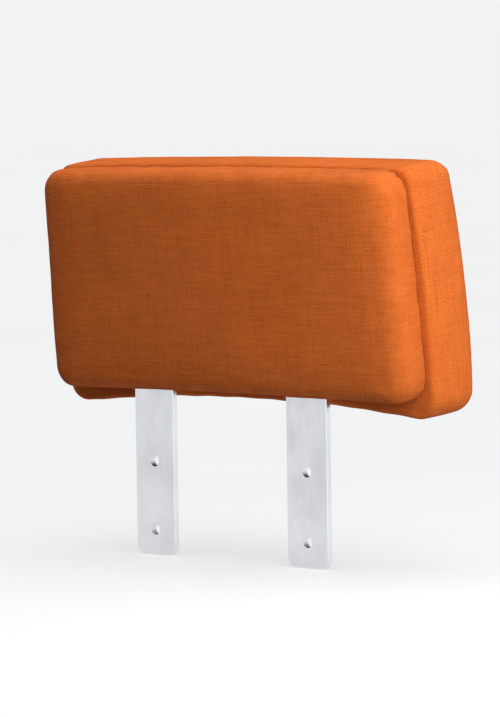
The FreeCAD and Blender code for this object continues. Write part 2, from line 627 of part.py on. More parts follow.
def build_fasteners():
    """Screws, tee nuts, push-in studs and their sockets, each kind as one group."""
    cover = size("cover_thick")
    seat, long = size("flange_thick") - cover, size("guide_screw_long")
    r, head, high = size("guide_screw") / 2, size("guide_screw_head") / 2, size("guide_screw_head_high")
    rim, recess = seat + size("guide_screw_rim"), size("guide_screw_recess")
    crown = head * size("guide_screw_dome")
    screw = turned([(0, seat - long), (r, seat - long), (r, seat), (head, seat), (head, rim),
                    (crown, seat + high), (recess, seat + high), (recess, rim), (0, rim)])
    group("guide_screws", [moved(screw, x, 0, z) for x, z in guide_screw_places()], True)

    face = -cover - size("core_thick")
    barrel, bore = size("tee_barrel") / 2, size("tee_bore") / 2
    flange, thick = size("tee_flange") / 2, size("tee_flange_thick")
    nut = turned([(bore, face - thick), (flange, face - thick), (flange, face), (barrel, face),
                  (barrel, face + size("tee_long")), (bore, face + size("tee_long"))])
    group("tee_nuts", [moved(nut, x, 0, z) for x, z in guide_screw_places()], True)

    seat, long = size("bar_thick") + size("guide_clear") + size("plate_thick"), size("plate_screw_long")
    r, head, high = size("plate_screw") / 2, size("plate_screw_head") / 2, size("plate_screw_head_high")
    screw = turned([(0, seat - long), (r, seat - long + r), (r, seat), (head, seat),
                    (head, seat + size("plate_screw_rim")),
                    (head * size("plate_screw_dome"), seat + high), (0, seat + high)])
    places = [place for _, side in SIDES for place in plate_screw_places(side)]
    group("plate_screws", [moved(screw, x, 0, z) for x, z in places], False)

    r, collar, point = size("stud") / 2, size("stud_collar") / 2, size("stud_point")
    front, rear = -cover + size("socket_flange_thick") + size("running_clear"), size("batten_front")
    tip, tail = -cover - size("stud_in_core"), rear + size("stud_in_batten")
    stud = turned([(0, tip), (r - point, tip), (r, tip + point), (r, front), (collar, front),
                   (collar, rear), (r, rear), (r, tail - point), (r - point, tail), (0, tail)])
    group("panel_studs", [moved(stud, x, 0, z) for x, z in stud_places()], True)

    bore, body, flange = r + size("running_clear"), size("socket_body") / 2, size("socket_flange") / 2
    lip = -cover + size("socket_flange_thick")
    end = -cover - size("socket_long")
    socket = turned([(bore, lip), (flange, lip), (flange, -cover), (body, -cover),
                     (body, end), (bore, end)])
    group("stud_sockets", [moved(socket, x, 0, z) for x, z in stud_places()], True)


# ---------------------------------------------------------------- build, check, write

build_bars()
build_front_cushion()
build_rear_panel()
build_guides()
build_fasteners()
doc.recompute()

failed = [o.Name for o in doc.Objects if "Invalid" in o.State or "Error" in o.State]
broken = [o.Label for o in finished if o.Shape.isNull() or not o.Shape.isValid()]
if failed or broken:
    raise RuntimeError("failed objects: %s; broken shapes: %s" % (failed, broken))

os.makedirs("parts", exist_ok=True)
for item in finished:
    item.Shape.exportStep("parts/%s.step" % item.Label)
    extent = item.Shape.BoundBox
    print("%-20s solids %2d  volume %10.1f mm3  size %7.1f %7.1f %7.1f" % (
        item.Label, len(item.Shape.Solids), item.Shape.Volume, extent.XLength, extent.YLength,
        extent.ZLength))
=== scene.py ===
"""Looks of the office chair headrest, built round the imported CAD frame.

Everything is in metres in the row frame: +Z up, +Y to the back of the headrest, +X to the sitter's
left.  The pad leans back, so its soft pieces are made in the pad's own frame: x across, y rearward,
z up along the pad, turned about the row's origin.
"""
import json
import math

import bpy
import numpy as np
from mathutils import Matrix, Vector, noise
from mathutils.kdtree import KDTree


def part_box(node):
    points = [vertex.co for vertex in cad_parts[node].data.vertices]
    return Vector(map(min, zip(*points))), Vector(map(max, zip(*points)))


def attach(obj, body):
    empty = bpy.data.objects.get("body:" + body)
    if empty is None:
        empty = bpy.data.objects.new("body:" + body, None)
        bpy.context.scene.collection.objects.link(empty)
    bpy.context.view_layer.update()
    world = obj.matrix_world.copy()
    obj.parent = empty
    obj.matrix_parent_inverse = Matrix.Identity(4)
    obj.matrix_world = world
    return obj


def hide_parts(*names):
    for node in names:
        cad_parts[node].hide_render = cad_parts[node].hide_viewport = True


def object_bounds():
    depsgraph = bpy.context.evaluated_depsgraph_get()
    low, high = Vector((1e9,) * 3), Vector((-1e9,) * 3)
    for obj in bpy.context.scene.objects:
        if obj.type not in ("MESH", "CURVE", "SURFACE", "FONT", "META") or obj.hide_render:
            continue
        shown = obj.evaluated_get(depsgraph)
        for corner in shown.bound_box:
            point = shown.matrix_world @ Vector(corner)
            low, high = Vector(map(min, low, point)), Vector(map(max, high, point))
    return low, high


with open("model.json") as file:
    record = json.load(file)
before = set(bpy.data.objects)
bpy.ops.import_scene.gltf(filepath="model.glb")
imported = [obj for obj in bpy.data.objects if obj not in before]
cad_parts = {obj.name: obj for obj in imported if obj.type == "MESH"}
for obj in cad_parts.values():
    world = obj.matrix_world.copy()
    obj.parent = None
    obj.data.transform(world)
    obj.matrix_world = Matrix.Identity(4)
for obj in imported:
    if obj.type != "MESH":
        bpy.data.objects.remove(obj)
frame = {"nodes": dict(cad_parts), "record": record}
cad_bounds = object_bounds()
nodes = frame["nodes"]
MM = 0.001

# ---------------------------------------------------------------- the pad's own frame


def lean_angle():
    """How far the pad leans back, from the core board's largest flat face."""
    face = max(nodes["core_board"].data.polygons, key=lambda p: p.area)
    normal = face.normal if face.normal.y > 0 else -face.normal
    return math.atan2(-normal.z, normal.y)


PAD_TURN = Matrix.Rotation(-lean_angle(), 3, "X")
TO_ROW = np.array(PAD_TURN)


def local_box(node):
    """(lowest, highest) corner of a CAD node, measured along the pad's own axes."""
    turn = PAD_TURN.transposed()
    co = np.array([turn @ v.co for v in nodes[node].data.vertices])
    return co.min(0), co.max(0)


SEAM_FRONT = local_box("front_cover")[1][1]  # y of the seam plane at the front cushion
SEAM_REAR = local_box("rear_cover")[0][1]    # and at the rear panel
BAR_BOXES = [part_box("bar_left"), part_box("bar_right")]

# ---------------------------------------------------------------- driving dimensions

CLOTH = 1.2 * MM          # thickness of the cover cloth
LIP = 15 * MM             # how far each cover is folded in between cushion and panel
SEAM_DEPTH = 1.5 * MM     # how deep a sewn seam sinks
SEAM_WIDE = 1.1 * MM      # half width of the sunk line
STITCH = 3.4 * MM         # length of one stitch
STITCH_GAP = 1.3 * MM     # cloth between two stitches
LEAST_CORNER = 4 * MM     # smallest radius of the outline's corners, however far in
EDGE_HANDLE = 0.57        # how square the rounding to each face is; 0.55 is a circle
EDGE_POINTS = 60          # points on that rounding
STITCH_ROW = 4.2 * MM     # from the seam to the row of stitches on the face
# beside the seam: place from it towards the face, half width, height, and whether it gathers
SEAM_RIDGES = ((-3.4 * MM, 2.2 * MM, 0.55 * MM, True),
               (2.3 * MM, 1.2 * MM, 0.35 * MM, False),
               (STITCH_ROW, 0.7 * MM, -0.4 * MM, False))
PLEATS = ((-6.5 * MM, 4.0 * MM), (-0.6 * MM, 7.0 * MM), (5.6 * MM, 4.5 * MM))  # from a corner; reach
PLEAT_DEPTH = 0.5 * MM
PLEAT_WIDE = 1.7 * MM
STAPLE_PULL = 0.3 * MM    # how far a staple draws the cloth in, and how far round it
STAPLE_REACH = 7 * MM
UNEVEN = ((0.5 * MM, 22, 1), (0.12 * MM, 75, 2))  # slight waves: height, scale and seed
RING_GAP = 2.0 * MM       # distance between mesh rings on the plain part of a side
THREAD = 0.34 * MM        # radius of the sewing thread
YARN = 1.1 * MM           # distance between two yarns of the weave
STAPLE_PITCH = 24 * MM    # distance between the staples that hold each lip
SEAM_TURN = math.radians(58)    # how far the front cover has turned to its face at its seam
COLUMNS, ROWS = 112, 60   # mesh columns across each block, and rows up it

SLIT_ROOM = 0.7 * MM      # from a bar to the edge of its slit
SLIT_COUNT = 96           # points round a slit
SLIT_CORNER = 2.2 * MM    # largest radius of its corners
CUT_BELOW, CUT_HIGH = 6 * MM, 14 * MM  # where the cut starts under the panel, and its height
BINDING_ROOM = 1.5 * MM   # from a bar to the middle of the slit's binding
BINDING_COUNT = 120       # points round a binding
BINDING = 0.75 * MM       # radius of the binding
BINDING_SIDES = 10
BINDING_SINK = 0.1 * MM   # how far the binding's middle is below the cloth

COARSE_COLUMNS, COARSE_ROWS, COARSE_RINGS = 40, 22, 18  # mesh of the simulated copy
VOXEL = 4.5 * MM          # size of its cells after remeshing
HELD = 1.5 * MM           # cloth this near the seam plane is stapled
STEPS = 20                # frames of cloth simulation
SMOOTH_ROUNDS = 90        # rounds of evening out the swelling

# soft lights of the world: direction, cosine where each starts and is full, strength
WORLD_BASE = 0.035
WORLD_LOBES = (((0, 0, 1), 0.6, 1.0, 3.1),
               ((-1, -0.3, 0.1), 0.4, 1.0, 0.75),
               ((0, 0, -1), 0.2, 1.0, 0.4))
WORLD_TINT = (0.98, 0.99, 1.0, 1)
BACKDROP = (0.99, 0.995, 1, 1)  # what the camera sees of the world
BACKDROP_STRENGTH = 0.893       # as bright as the lit floor, so that no horizon shows
FLOOR_REACH = 14.0
FLOOR_GLOW = 0.6
KEY_OFFSET = (-0.50, 0.25, 0.17)  # from the object's middle to the soft box
KEY_WIDE = 0.40
KEY_POWER = 2.85
KEY_COLOR = (0.97, 1.0, 0.95)
CAMERA_PLACE = (-1.5505, 1.7343, 0.2465)
CAMERA_ROLL = -math.radians(0.84)
CAMERA_LENS = 204.0       # millimetres, on a frame CAMERA_FRAME wide
CAMERA_FRAME = 36

# colours of the cover: two yarns and their dark slubs, and the sewing thread
WARP = (0.80, 0.172, 0.0275, 1)
WEFT = (0.77, 0.162, 0.0255, 1)
SLUB = (0.56, 0.103, 0.0145, 1)
THREAD_COLOR = (0.72, 0.19, 0.04, 1)
FUZZ_TINT = (1.0, 0.5, 0.2, 1)

# Each block, in the pad's frame.  Its outline tapers from half_low to half_high, with radii
# low_corner and corner; arch, crown and bow curve its bottom, top and sides.  edge and side_edge
# round it to its face, seam_edge to the seam plane, and belly pushes its side out.  swell caps how
# far the cloth comes out and start is how far inside the outline it begins.  way is the side of the
# seam plane it is on.
BLOCKS = {
    "front": {
        "half_low": 140.5 * MM, "half_high": 135.5 * MM, "low_corner": 14 * MM, "corner": 10 * MM,
        "arch": 9 * MM, "bow": 3.2 * MM, "belly": 0.5 * MM, "crown": 1.4 * MM,
        "edge": 15 * MM, "side_edge": 17 * MM, "seam_edge": 2.8 * MM,
        "swell": 5 * MM, "start": 0.3 * MM,
        "level": -7 * MM, "height": 144.5 * MM, "depth": 43 * MM, "way": -1,
    },
    "rear": {
        "half_low": 136.5 * MM, "half_high": 132.5 * MM, "low_corner": 13 * MM, "corner": 13 * MM,
        "arch": 1.5 * MM, "bow": 0.3 * MM, "belly": 0, "crown": 1.2 * MM,
        "edge": 8.8 * MM, "side_edge": 16 * MM, "seam_edge": 0.8 * MM,
        "swell": 1.6 * MM, "start": 0.2 * MM,
        "level": 6 * MM, "height": 130 * MM, "depth": 19.3 * MM, "way": 1,
    },
}
BOARD_RISE = 12 * MM      # from the level that both blocks' heights count from to the core board
PAD_ZERO = local_box("core_board")[0][2] - BOARD_RISE

# ---------------------------------------------------------------- outline and cross-section


def bezier(a, da, db, b, handle, count):
    """Points on a cubic from a to b that leaves along da and arrives along db."""
    t = np.linspace(0, 1, count)[:, None]
    p, q = a + da * handle, b - db * handle
    return (1 - t) ** 3 * a + 3 * (1 - t) ** 2 * t * p + 3 * (1 - t) * t ** 2 * q + t ** 3 * b


def lengths(points):
    """Distance along a polyline at each of its points."""
    return np.concatenate([[0], np.cumsum(np.linalg.norm(np.diff(points, axis=0), axis=1))])


def resample(points, places):
    """Points at the given distances along a polyline."""
    along = lengths(points)
    return np.stack([np.interp(places, along, points[:, k]) for k in range(points.shape[1])], 1)


def outline(block, columns, rows, shrink=0.0, narrow=0.0):
    """The block's edge seen from the front, anticlockwise from its lower left corner's middle.

    shrink moves it in all round, and narrow moves its two sides in further.  Gives points and
    distances along the edge.  Columns crowd towards the corners.
    """
    half_low, half_high = (block[key] - shrink - narrow for key in ("half_low", "half_high"))
    low = PAD_ZERO + block["level"] + shrink
    high = PAD_ZERO + block["level"] + block["height"] - shrink
    lower, upper = (max(block[key] - shrink, LEAST_CORNER) for key in ("low_corner", "corner"))
    radii = lower, upper, upper, lower
    t = np.linspace(-1, 1, 161)
    bottom = np.stack([t * half_low, low + block["arch"] * (1 - t ** 2)], 1)
    right = np.stack([half_low + (half_high - half_low) * (t + 1) / 2 + block["bow"] * (1 - t ** 2),
                      low + (high - low) * (t + 1) / 2], 1)
    top = np.stack([-t * half_high, high + block["crown"] * (1 - t ** 2)], 1)
    left = (right * [-1, 1])[::-1]
    sides = []
    for k, side in enumerate((bottom, right, top, left)):
        total = lengths(side)[-1]
        sides.append(resample(side, np.linspace(radii[k - 1], total - radii[k], 161)))
    corners = []
    for k in range(4):
        a, b = sides[k], sides[(k + 1) % 4]
        da, db = a[-1] - a[-2], b[1] - b[0]
        da, db = da / np.linalg.norm(da), db / np.linalg.norm(db)
        corners.append(bezier(a[-1], da, db, b[0], 0.5523 * radii[k], 41))
    points = []
    for k, count in enumerate((columns, rows, columns, rows)):
        whole = np.concatenate([corners[k - 1][20:-1], sides[k], corners[k][1:21]])
        t = np.linspace(0, 1, count + 1)
        t = t - 0.55 * np.sin(2 * math.pi * t) / (2 * math.pi)
        points.append(resample(whole, t * lengths(whole)[-1])[:-1])
    points = np.concatenate(points)
    return points, lengths(np.concatenate([points, points[:1]]))


def section(block, seam_turn=None):
    """(inset, depth) down the block's side, from the lip to its face, and where a seam lies on it.

    Depth counts from the seam plane.  The side swells out by belly between its fold and its face.
    seam_turn is how far the cloth has turned towards the face where the seam is, in radians.
    """
    small, big, depth, belly = (block[key] for key in ("seam_edge", "edge", "depth", "belly"))
    start = math.pi / 2 - 2 * belly / (depth - big)
    turn = np.linspace(0, start, 25)
    lip = np.stack([np.linspace(LIP, small + belly, 20), np.zeros(20)], 1)
    fold = np.stack([belly + small * (1 - np.sin(turn)), small * (1 - np.cos(turn))], 1)
    leaving, arriving = np.array([-math.cos(start), math.sin(start)]), np.array([0.0, 1.0])
    wall_end = np.array([0, depth - big])
    wall = bezier(fold[-1], leaving, arriving, wall_end, (depth - big) / 3, 24)
    edge = bezier(wall_end, arriving, np.array([1.0, 0.0]), np.array([big, depth]),
                  EDGE_HANDLE * big, EDGE_POINTS)
    line = np.concatenate([lip[:-1], fold, wall[1:], edge[1:]])
    along = lengths(line)
    seam = None
    if seam_turn:
        steps = np.diff(edge, axis=0)
        turned = np.arctan2(steps[:, 0], steps[:, 1])
        seam = along[len(line) - EDGE_POINTS + int(np.argmin(np.abs(turned - seam_turn)))]
    return line, along[-1], seam


def ring_places(total, seam, fold_start, fold_end):
    """Distances along the section for the mesh rings: closer at the fold, seam and stitches."""
    places = list(np.linspace(0, fold_start, 6)) + list(np.linspace(fold_start, fold_end, 7)[1:])
    places += list(np.linspace(fold_end, total, int((total - fold_end) / RING_GAP))[1:])
    if seam:
        beside = np.array([0, 0.45, 0.9, 1.4, 2.1, 3.0]) * MM
        sewn = seam + STITCH_ROW + np.array([-0.6, 0, 0.6, 1.3]) * MM
        places = [p for p in places if not seam - 3.8 * MM < p < seam + STITCH_ROW + 2.0 * MM]
        places += list(seam + beside) + list(seam - beside[1:]) + list(sewn)
    return np.array(sorted(places))


# ---------------------------------------------------------------- block meshes


def coons(ring, columns, rows):
    """A grid of points that spans a closed ring of 2 * (columns + rows) points."""
    bottom = ring[: columns + 1]
    right = ring[columns: columns + rows + 1]
    top = ring[columns + rows: 2 * columns + rows + 1][::-1]
    left = np.concatenate([ring[2 * columns + rows:], ring[:1]])[::-1]
    u = np.linspace(0, 1, columns + 1)[:, None, None]
    v = np.linspace(0, 1, rows + 1)[None, :, None]
    grid = (1 - v) * bottom[:, None] + v * top[:, None] + (1 - u) * left[None] + u * right[None]
    return grid - ((1 - u) * (1 - v) * bottom[0] + u * (1 - v) * bottom[-1] + (1 - u) * v * top[0]
                   + u * v * top[-1])


class Block:
    """An upholstered block as a structured skin: rings down its side, a grid over its face."""

    def __init__(self, block, columns, rows, seam_turn=None, shrink=0.0, rings=None):
        self.block, self.columns, self.rows = block, columns, rows
        self.plane = SEAM_FRONT if block["way"] < 0 else SEAM_REAR
        edge, along = outline(block, columns, rows, shrink)
        line, self.total, self.seam = section(block, seam_turn)
        fold_start = LIP - block["seam_edge"] - block["belly"]
        fold_end = fold_start + block["seam_edge"] * math.pi / 2
        if rings is None:
            self.places = ring_places(self.total, self.seam, fold_start, fold_end)
        else:
            self.places = np.linspace(0, self.total, rings)
        profile = resample(line, self.places)
        profile[-1] = line[-1]
        count = len(edge)
        points, face_uv, band_uv = [], [], []
        wider = block["side_edge"] / block["edge"] - 1
        border = outline(block, columns, rows, shrink + profile[-1][0], profile[-1][0] * wider)[0]
        for (inset, depth), place in zip(profile, self.places):
            rounding = depth > block["depth"] - block["edge"]
            flat = outline(block, columns, rows, shrink + inset, inset * wider * rounding)[0]
            points.append(np.stack([flat[:, 0], np.full(count, self.plane + block["way"] * depth),
                                    flat[:, 1]], 1))
            face_uv.append(border + (edge - border) * ((self.total - place) / profile[-1][0]))
            band_uv.append(np.stack([along, np.full(count + 1, place)], 1))
        self.ring_count, self.edge_count = len(points), count
        grid = coons(points[-1], columns, rows)
        inner = grid[1:-1, 1:-1].reshape(-1, 3)
        self.co = np.concatenate(points + [inner])
        self.uv = np.concatenate(face_uv + [inner[:, [0, 2]]])
        self.band_uv = band_uv
        self.along = along
        self.section_place = np.concatenate([np.repeat(self.places, count),
                                             np.full(len(inner), self.total)])
        self.edge_place = np.concatenate([np.tile(along[:-1], self.ring_count),
                                          np.zeros(len(inner))])
        self.crown()
        self.make_faces()

    def crown(self):
        """Raises the face between its edges, as stuffing does."""
        rounding = self.block["edge"] * math.pi / 2
        share = np.clip((self.section_place - self.total + rounding) / rounding, 0, 1)
        share = share * share * (3 - 2 * share)
        x = self.co[:, 0] / self.block["half_low"]
        middle = PAD_ZERO + self.block["level"] + self.block["height"] / 2
        z = (self.co[:, 2] - middle) / (self.block["height"] / 2)
        rise = self.block["swell"] * 0.5 * np.clip(1 - x ** 2, 0, 1) * np.clip(1 - z ** 2, 0, 1)
        self.co[:, 1] += self.block["way"] * rise * share

    def vertex(self, ring, k):
        """Index of a ring's vertex."""
        return ring * self.edge_count + k % self.edge_count

    def grid_vertex(self, i, j):
        """Index of a vertex of the face grid, whose border is the last ring."""
        c, r = self.columns, self.rows
        last = self.ring_count - 1
        if j == 0:
            return self.vertex(last, i)
        if i == c:
            return self.vertex(last, c + j)
        if j == r:
            return self.vertex(last, c + r + (c - i))
        if i == 0:
            return self.vertex(last, 2 * c + r + (r - j))
        return self.ring_count * self.edge_count + (i - 1) * (r - 1) + (j - 1)

    def make_faces(self):
        """Quads and the weave coordinates of their corners."""
        faces, uvs = [], []
        for ring in range(self.ring_count - 1):
            band = self.seam is not None and self.places[ring + 1] <= self.seam + 1e-9
            for k in range(self.edge_count):
                corners = (ring, k), (ring, k + 1), (ring + 1, k + 1), (ring + 1, k)
                quad = [self.vertex(r, q) for r, q in corners]
                faces.append(quad)
                uvs.append([self.band_uv[r][q] for r, q in corners] if band
                           else [self.uv[v] for v in quad])
        for i in range(self.columns):
            for j in range(self.rows):
                corners = (i, j), (i + 1, j), (i + 1, j + 1), (i, j + 1)
                quad = [self.grid_vertex(a, b) for a, b in corners]
                faces.append(quad)
                uvs.append([self.uv[v] for v in quad])
        if self.block["way"] > 0:
            faces = [f[::-1] for f in faces]
            uvs = [u[::-1] for u in uvs]
        self.faces, self.uvs = faces, uvs

    def normals(self):
        """Outward normals at the vertices."""
        total = np.zeros_like(self.co)
        quads = np.array(self.faces)
        a, b, c, d = (self.co[quads[:, k]] for k in range(4))
        flat = np.cross(c - a, d - b)
        for k in range(4):
            np.add.at(total, quads[:, k], flat)
        return total / np.maximum(np.linalg.norm(total, axis=1), 1e-12)[:, None]

    def smooth(self, values, rounds):
        """Values at the vertices, evened out with their neighbours' again and again."""
        quads = np.array(self.faces)
        a, b = quads.ravel(), np.roll(quads, -1, 1).ravel()
        shares = np.bincount(a, minlength=len(values)) + np.bincount(b, minlength=len(values))
        for _ in range(rounds):
            near = np.bincount(a, values[b], len(values)) + np.bincount(b, values[a], len(values))
            values = 0.5 * values + 0.5 * near / np.maximum(shares, 1)
        return values

    def mesh(self, name):
        """The skin as a Blender object in the row frame, worn where it turns to its face."""
        crest = self.total - 0.8 * self.block["edge"]
        wear = bell(self.section_place - crest, 0.5 * self.block["edge"])
        return mesh_object(name, self.co @ TO_ROW.T, self.faces, self.uvs, wear)


def mesh_object(name, points, faces, uvs=None, wear=None):
    """A smooth-shaded mesh object, with weave coordinates in metres and wear if they are given."""
    mesh = bpy.data.meshes.new(name)
    mesh.from_pydata([tuple(p) for p in points], [], [tuple(f) for f in faces])
    if uvs is not None:
        flat = np.array([corner for face in uvs for corner in face], np.float32)
        layer = mesh.attributes.new("weave", "FLOAT_VECTOR", "CORNER")
        corners = [v for face in faces for v in face]
        rubbed = np.zeros(len(flat)) if wear is None else wear[corners]
        values = np.column_stack([flat, rubbed]).astype(np.float32)
        layer.data.foreach_set("vector", values.ravel())
    mesh.polygons.foreach_set("use_smooth", [True] * len(mesh.polygons))
    mesh.update()
    piece = bpy.data.objects.new(name, mesh)
    bpy.context.scene.collection.objects.link(piece)
    return piece


def apply_modifiers(piece):
    """Makes a piece's modifiers part of its mesh."""
    graph = bpy.context.evaluated_depsgraph_get()
    mesh = bpy.data.meshes.new_from_object(piece.evaluated_get(graph), depsgraph=graph,
                                           preserve_all_data_layers=True)
    old = piece.data
    piece.modifiers.clear()
    piece.data = mesh
    bpy.data.meshes.remove(old)
    return piece


# ---------------------------------------------------------------- cloth simulation


def swell(block, pins):
    """Inflates a coarse closed copy of a block as cloth.

    Gives the copy's points before and after, in the pad's frame.  pins is a test for the points
    that staples hold.
    """
    rough = Block(block, COARSE_COLUMNS, COARSE_ROWS, shrink=block["start"], rings=COARSE_RINGS)
    last = [rough.vertex(0, k) for k in range(rough.edge_count)]
    faces = rough.faces + [last if block["way"] > 0 else last[::-1]]
    piece = mesh_object("swelling", rough.co, faces)
    remesh = piece.modifiers.new("remesh", "REMESH")
    remesh.mode = "VOXEL"
    remesh.voxel_size = VOXEL
    apply_modifiers(piece)
    before = np.array([v.co for v in piece.data.vertices])
    held = piece.vertex_groups.new(name="held")
    held.add([k for k, p in enumerate(before) if pins(p)], 1.0, "REPLACE")
    cloth = piece.modifiers.new("cloth", "CLOTH")
    settings = cloth.settings
    settings.quality = 6
    settings.mass = 0.25
    settings.tension_stiffness = 14
    settings.compression_stiffness = 10
    settings.shear_stiffness = 6
    settings.bending_stiffness = 0.4
    settings.use_pressure = True
    settings.uniform_pressure_force = 4.0
    settings.vertex_group_mass = "held"
    settings.effector_weights.gravity = 0
    cloth.collision_settings.use_collision = False
    scene = bpy.context.scene
    cloth.point_cache.frame_start = 1
    cloth.point_cache.frame_end = STEPS
    for step in range(1, STEPS + 1):
        scene.frame_set(step)
    apply_modifiers(piece)
    after = np.array([v.co for v in piece.data.vertices])
    scene.frame_set(1)
    bpy.data.objects.remove(piece)
    return before, after


def follow(skin, before, after, cap):
    """Pushes a skin out along its normals as far as the simulated cloth near it swelled.

    The stuffing holds the cloth out, so no point moves in, and none moves out by more than cap.
    """
    normals = skin.normals()
    tree = KDTree(len(before))
    for k, p in enumerate(before):
        tree.insert(p, k)
    tree.balance()
    shift = after - before
    swelling = np.empty(len(skin.co))
    for k, p in enumerate(skin.co):
        found = tree.find_n(p, 10)
        weight = np.array([1 / (d + 2.5 * MM) ** 2 for _, _, d in found])
        swelling[k] = (shift[[i for _, i, _ in found]] @ normals[k] * weight).sum() / weight.sum()
    swelling = skin.smooth(cap * np.tanh(np.maximum(swelling, 0) / cap), SMOOTH_ROUNDS)
    skin.co += normals * swelling[:, None]


# ---------------------------------------------------------------- materials


class Shader:
    """A material's node tree, with short ways to add what the materials here need."""

    def __init__(self, name):
        self.material = bpy.data.materials.new(name)
        self.material.use_nodes = True
        self.tree = self.material.node_tree
        self.surface = self.tree.nodes["Principled BSDF"]

    def add(self, kind, **values):
        node = self.tree.nodes.new("ShaderNode" + kind)
        for key, value in values.items():
            setattr(node, key, value)
        return node

    def put(self, socket, value):
        if isinstance(value, bpy.types.NodeSocket):
            self.tree.links.new(value, socket)
        else:
            socket.default_value = value

    def math(self, operation, *values):
        node = self.add("Math", operation=operation)
        for socket, value in zip(node.inputs, values):
            self.put(socket, value)
        return node.outputs[0]

    def vector(self, *values):
        node = self.add("CombineXYZ")
        for socket, value in zip(node.inputs, values):
            self.put(socket, value)
        return node.outputs[0]

    def noise(self, place, scale, detail=2.0, rough=0.5):
        node = self.add("TexNoise")
        self.put(node.inputs["Vector"], place)
        node.inputs["Scale"].default_value = scale
        node.inputs["Detail"].default_value = detail
        node.inputs["Roughness"].default_value = rough
        return node.outputs["Fac"]

    def spread(self, value, low, high, to_low=0.0, to_high=1.0):
        node = self.add("MapRange")
        for key, number in zip(("Value", "From Min", "From Max", "To Min", "To Max"),
                               (value, low, high, to_low, to_high)):
            self.put(node.inputs[key], number)
        return node.outputs[0]

    def mix(self, factor, a, b, way="MIX"):
        node = self.add("Mix", data_type="RGBA", blend_type=way)
        self.put(node.inputs[0], factor)
        self.put(node.inputs[6], a)
        self.put(node.inputs[7], b)
        return node.outputs[2]

    def place(self, scale=(1, 1, 1)):
        """The object's own coordinates, stretched."""
        node = self.add("Mapping")
        self.tree.links.new(self.add("TexCoord").outputs["Object"], node.inputs["Vector"])
        node.inputs["Scale"].default_value = scale
        return node.outputs[0]

    def bump(self, height, distance, strength=1.0):
        node = self.add("Bump")
        node.inputs["Distance"].default_value = distance
        node.inputs["Strength"].default_value = strength
        self.put(node.inputs["Height"], height)
        return node.outputs[0]

    def finish(self, color, roughness, normal=None, **fixed):
        self.put(self.surface.inputs["Base Color"], color)
        self.put(self.surface.inputs["Roughness"], roughness)
        if normal is not None:
            self.tree.links.new(normal, self.surface.inputs["Normal"])
        for key, value in fixed.items():
            self.surface.inputs[key.replace("_", " ")].default_value = value
        return self.material


